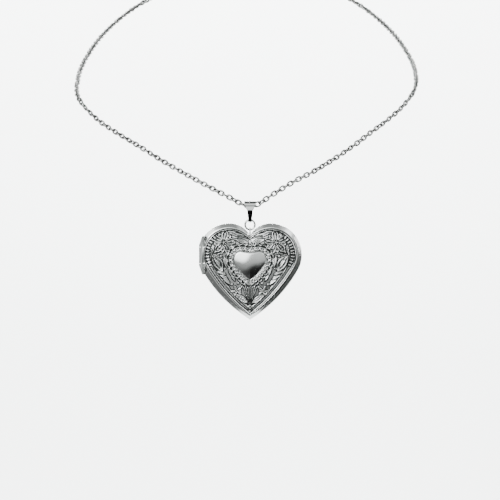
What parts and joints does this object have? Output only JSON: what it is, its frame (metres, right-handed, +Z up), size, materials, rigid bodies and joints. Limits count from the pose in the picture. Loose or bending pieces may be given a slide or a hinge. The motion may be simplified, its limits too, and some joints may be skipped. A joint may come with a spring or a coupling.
{
  "type": "heart locket necklace",
  "caption": "Hinged heart locket with an embossed front, photo frames inside, bail and jump ring, on a fine cable chain with a lobster clasp.",
  "frame": {"origin": "nape of the necklace, at the middle of the clasp, where a neck or a hook holds the chain up", "axes": "+Z up, +X to the viewer's right, locket front faces -Y and its back faces +Y"},
  "size_m": [0.1023, 0.1378, 0.1174],
  "materials": {
    "polished_metal": "polished rhodium-like plate with fine handling scratches",
    "embossed_metal": "polished high spots with darkened recesses",
    "chain_steel": "bright drawn wire, slightly greyer than the locket",
    "window": "clear acetate sheet",
    "card": "matt ivory card"
  },
  "bodies": {
    "chain": {"neck_chain": "chain_steel", "chain_end_ring_left": "polished_metal", "chain_end_ring_right": "polished_metal", "clasp_body": "polished_metal", "clasp_rivet": "polished_metal", "clasp_spring": "polished_metal"},
    "bail": {"bail": "polished_metal"},
    "ring": {"jump_ring": "polished_metal"},
    "locket": {"back_cover": "polished_metal", "back_hinge_knuckle_upper": "polished_metal", "back_hinge_knuckle_lower": "polished_metal", "hinge_pin": "polished_metal", "back_photo_frame": "polished_metal", "back_window": "window", "back_photo_card": "card", "catch_tongue": "polished_metal", "hanging_eyelet": "polished_metal"},
    "cover": {"front_cover": "embossed_metal", "front_hinge_knuckle": "polished_metal", "front_photo_frame": "polished_metal", "front_window": "window", "front_photo_card": "card"},
    "lever": {"clasp_lever": "polished_metal"}
  },
  "joints": [
    {"name": "bail_swing", "type": "hinge", "parent": "chain", "child": "bail", "pos_m": [0, -0.132, -0.082], "axis": [1, 0, 0], "range_deg": [-35, 35]},
    {"name": "ring_swing", "type": "hinge", "parent": "bail", "child": "ring", "pos_m": [0, -0.132, -0.08599], "axis": [1, 0, 0], "range_deg": [-45, 45]},
    {"name": "locket_sway", "type": "hinge", "parent": "ring", "child": "locket", "pos_m": [0, -0.132, -0.08736], "axis": [0, 1, 0], "range_deg": [-25, 25]},
    {"name": "cover_hinge", "type": "hinge", "parent": "locket", "child": "cover", "pos_m": [-0.0136, -0.132, -0.09475], "axis": [0, 0, -1], "range_deg": [0, 170]},
    {"name": "lever_press", "type": "hinge", "parent": "chain", "child": "lever", "pos_m": [-0.00109, 0, 0.00177], "axis": [0, 1, 0], "range_deg": [0, 13], "stiffness_Nm_per_rad": 0.002, "springref_deg": -8.59}
  ]
}
